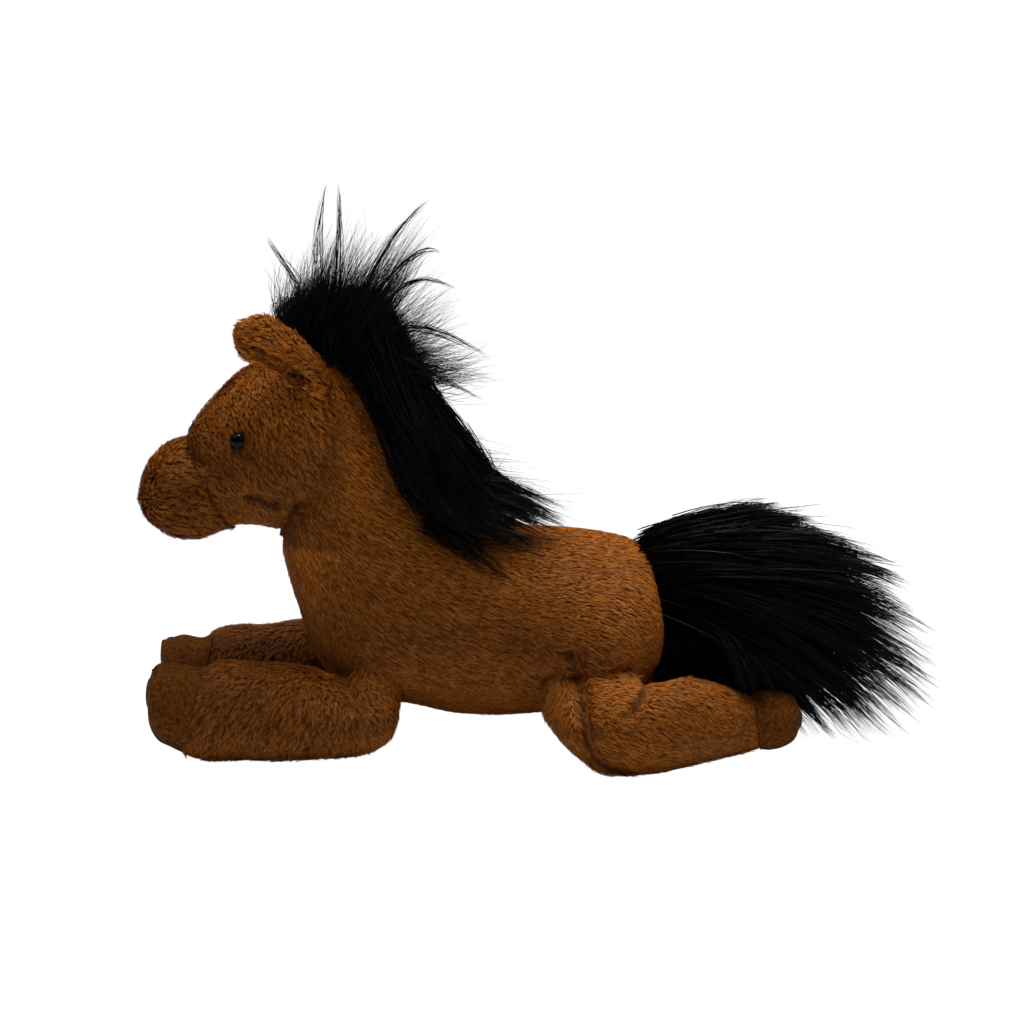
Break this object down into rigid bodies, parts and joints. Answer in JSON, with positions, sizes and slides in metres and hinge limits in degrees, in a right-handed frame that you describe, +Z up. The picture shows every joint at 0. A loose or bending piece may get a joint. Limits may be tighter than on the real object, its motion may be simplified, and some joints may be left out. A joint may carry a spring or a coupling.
{
  "type": "plush horse",
  "caption": "Lying plush horse with stuffed pile-cloth torso, head and legs, suede hooves, bead eyes, folded ears and long-haired forelock, mane and tail on soft seams.",
  "frame": {"origin": "middle of the horse's footprint box, on the surface it lies on", "axes": "+X from the nose to the tail, +Y to the horse's right, +Z up; the horse's left side faces -Y"},
  "size_m": [0.3168, 0.142, 0.2257],
  "materials": {
    "short_pile": "short brown plush pile, brushed and slightly clumped",
    "long_hair": "long black faux hair with a soft sheen",
    "suede": "dark olive-brown suede cloth with a fine nap",
    "ear_lining": "short brown pile in the fold of the ear",
    "eye_bead": "polished near-black safety eye",
    "washer_plastic": "natural white nylon lock washer",
    "stuffing": "white polyester fibre fill",
    "pellet_cloth": "plain woven pouch cloth",
    "thread": "dark brown sewing thread"
  },
  "bodies": {
    "torso": {"torso_skin": "short_pile", "torso_filling": "stuffing", "belly_pellet_pouch": "pellet_cloth", "neck_mane": "long_hair"},
    "head": {"head_skin": "short_pile", "head_filling": "stuffing", "muzzle_skin": "short_pile", "left_eye": "eye_bead", "right_eye": "eye_bead", "left_eye_washer": "washer_plastic", "right_eye_washer": "washer_plastic", "left_nostril_stitch": "thread", "right_nostril_stitch": "thread", "chin_knot": "thread", "forelock": "long_hair"},
    "left_ear": {"left_ear_outer": "short_pile", "left_ear_lining": "ear_lining"},
    "right_ear": {"right_ear_outer": "short_pile", "right_ear_lining": "ear_lining"},
    "left_foreleg": {"left_foreleg_skin": "short_pile", "left_foreleg_hoof": "suede", "left_foreleg_filling": "stuffing", "left_foreleg_tack": "thread"},
    "right_foreleg": {"right_foreleg_skin": "short_pile", "right_foreleg_hoof": "suede", "right_foreleg_filling": "stuffing", "right_foreleg_tack": "thread"},
    "left_hindleg": {"left_hindleg_skin": "short_pile", "left_hindleg_hoof": "suede", "left_hindleg_filling": "stuffing"},
    "right_hindleg": {"right_hindleg_skin": "short_pile", "right_hindleg_hoof": "suede", "right_hindleg_filling": "stuffing"},
    "tail": {"tail_hair": "long_hair"}
  },
  "joints": [
    {"name": "head_nod", "type": "hinge", "parent": "torso", "child": "head", "pos_m": [-0.08308, 0, 0.11615], "axis": [0, 1, 0], "range_deg": [-8, 8], "stiffness_Nm_per_rad": 0.6},
    {"name": "left_ear_flap", "type": "hinge", "parent": "head", "child": "left_ear", "pos_m": [-0.08008, -0.01995, 0.14563], "axis": [0.6769, 0, 0.7361], "range_deg": [-10, 10], "stiffness_Nm_per_rad": 0.05},
    {"name": "right_ear_flap", "type": "hinge", "parent": "head", "child": "right_ear", "pos_m": [-0.08008, 0.01995, 0.14563], "axis": [0.3843, 0, 0.9232], "range_deg": [-10, 10], "stiffness_Nm_per_rad": 0.05},
    {"name": "left_foreleg_swing", "type": "hinge", "parent": "torso", "child": "left_foreleg", "pos_m": [-0.06392, -0.031, 0.03], "axis": [0, 1, 0], "range_deg": [-8, 8], "stiffness_Nm_per_rad": 2},
    {"name": "right_foreleg_swing", "type": "hinge", "parent": "torso", "child": "right_foreleg", "pos_m": [-0.06392, 0.031, 0.03], "axis": [0, 1, 0], "range_deg": [-8, 8], "stiffness_Nm_per_rad": 2},
    {"name": "left_hindleg_swing", "type": "hinge", "parent": "torso", "child": "left_hindleg", "pos_m": [0.02232, -0.051, 0.038], "axis": [0, 1, 0], "range_deg": [-4, 8], "stiffness_Nm_per_rad": 2},
    {"name": "right_hindleg_swing", "type": "hinge", "parent": "torso", "child": "right_hindleg", "pos_m": [0.02232, 0.051, 0.038], "axis": [0, 1, 0], "range_deg": [-4, 8], "stiffness_Nm_per_rad": 2},
    {"name": "tail_swing", "type": "hinge", "parent": "torso", "child": "tail", "pos_m": [0.04432, 0, 0], "axis": [0, 0, 1], "range_deg": [-15, 15], "stiffness_Nm_per_rad": 0.15}
  ]
}
